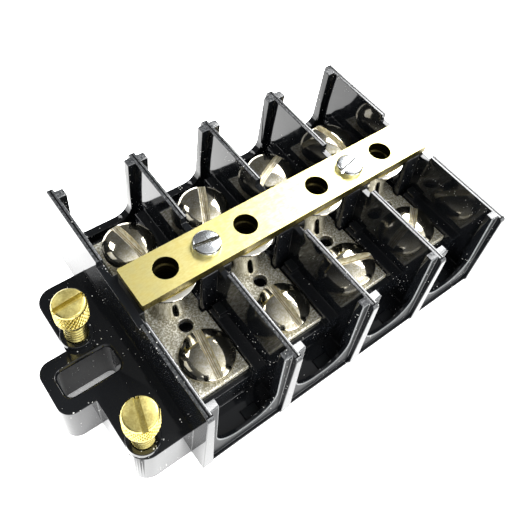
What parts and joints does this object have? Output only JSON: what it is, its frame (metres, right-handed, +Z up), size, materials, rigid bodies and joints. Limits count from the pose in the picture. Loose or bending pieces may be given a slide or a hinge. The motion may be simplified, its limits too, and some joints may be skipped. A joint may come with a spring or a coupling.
{
  "type": "barrier terminal strip",
  "caption": "Open barrier terminal strip in black plastic with a screwed shorting bar over its contact posts, slotted binding screws on both sides, and an end flange that parks shorting screws.",
  "frame": {"origin": "on the underside, at the middle barrier, below the centre line of the shorting bar", "axes": "+X along the row of poles away from the mounting flange, +Y towards the rear terminals, +Z up"},
  "size_m": [0.0804, 0.0496, 0.0206],
  "materials": {
    "black_plastic": "glossy black moulding",
    "nickel_plate": "nickel plated, satin, finely speckled",
    "nickel_post": "nickel plated turning, bright",
    "nickel_screw": "nickel plated, polished",
    "bar_brass": "satin rolled brass",
    "zinc_screw": "bright zinc plate",
    "knurled_brass": "turned brass, knurled",
    "insert_brass": "turned brass",
    "nut_steel": "zinc plated"
  },
  "bodies": {
    "strip": {"moulded_base": "black_plastic", "shorting_bar": "bar_brass", "wall_inserts": "insert_brass", "post_nuts": "nut_steel", "terminal_plate_1": "nickel_plate", "terminal_plate_2": "nickel_plate", "terminal_plate_3": "nickel_plate", "terminal_plate_4": "nickel_plate", "contact_post_1": "nickel_post", "contact_post_2": "nickel_post", "contact_post_3": "nickel_post", "contact_post_4": "nickel_post"},
    "binding_screw_front_1_body": {"binding_screw_front_1": "nickel_screw"},
    "binding_screw_front_2_body": {"binding_screw_front_2": "nickel_screw"},
    "binding_screw_front_3_body": {"binding_screw_front_3": "nickel_screw"},
    "binding_screw_front_4_body": {"binding_screw_front_4": "nickel_screw"},
    "binding_screw_rear_1_body": {"binding_screw_rear_1": "nickel_screw"},
    "binding_screw_rear_2_body": {"binding_screw_rear_2": "nickel_screw"},
    "binding_screw_rear_3_body": {"binding_screw_rear_3": "nickel_screw"},
    "binding_screw_rear_4_body": {"binding_screw_rear_4": "nickel_screw"},
    "bar_screw_1_body": {"bar_screw_1": "zinc_screw"},
    "bar_screw_2_body": {"bar_screw_2": "zinc_screw"},
    "shorting_screw_1_body": {"shorting_screw_1": "knurled_brass"},
    "shorting_screw_2_body": {"shorting_screw_2": "knurled_brass"}
  },
  "joints": [
    {"name": "binding_screw_front_1_travel", "type": "slide", "parent": "strip", "child": "binding_screw_front_1_body", "axis": [0, 0, 1], "range_m": [0, 0.004]},
    {"name": "binding_screw_front_2_travel", "type": "slide", "parent": "strip", "child": "binding_screw_front_2_body", "axis": [0, 0, 1], "range_m": [0, 0.004]},
    {"name": "binding_screw_front_3_travel", "type": "slide", "parent": "strip", "child": "binding_screw_front_3_body", "axis": [0, 0, 1], "range_m": [0, 0.004]},
    {"name": "binding_screw_front_4_travel", "type": "slide", "parent": "strip", "child": "binding_screw_front_4_body", "axis": [0, 0, 1], "range_m": [0, 0.004]},
    {"name": "binding_screw_rear_1_travel", "type": "slide", "parent": "strip", "child": "binding_screw_rear_1_body", "axis": [0, 0, 1], "range_m": [-0.0017, 0.0023]},
    {"name": "binding_screw_rear_2_travel", "type": "slide", "parent": "strip", "child": "binding_screw_rear_2_body", "axis": [0, 0, 1], "range_m": [-0.0017, 0.0023]},
    {"name": "binding_screw_rear_3_travel", "type": "slide", "parent": "strip", "child": "binding_screw_rear_3_body", "axis": [0, 0, 1], "range_m": [-0.0017, 0.0023]},
    {"name": "binding_screw_rear_4_travel", "type": "slide", "parent": "strip", "child": "binding_screw_rear_4_body", "axis": [0, 0, 1], "range_m": [-0.0017, 0.0023]},
    {"name": "bar_screw_1_travel", "type": "slide", "parent": "strip", "child": "bar_screw_1_body", "axis": [0, 0, 1], "range_m": [0, 0.0035]},
    {"name": "bar_screw_2_travel", "type": "slide", "parent": "strip", "child": "bar_screw_2_body", "axis": [0, 0, 1], "range_m": [0, 0.0035]},
    {"name": "shorting_screw_1_travel", "type": "slide", "parent": "strip", "child": "shorting_screw_1_body", "axis": [0, 0, 1], "range_m": [-0.0054, 0.003]},
    {"name": "shorting_screw_2_travel", "type": "slide", "parent": "strip", "child": "shorting_screw_2_body", "axis": [0, 0, 1], "range_m": [-0.0054, 0.003]}
  ]
}
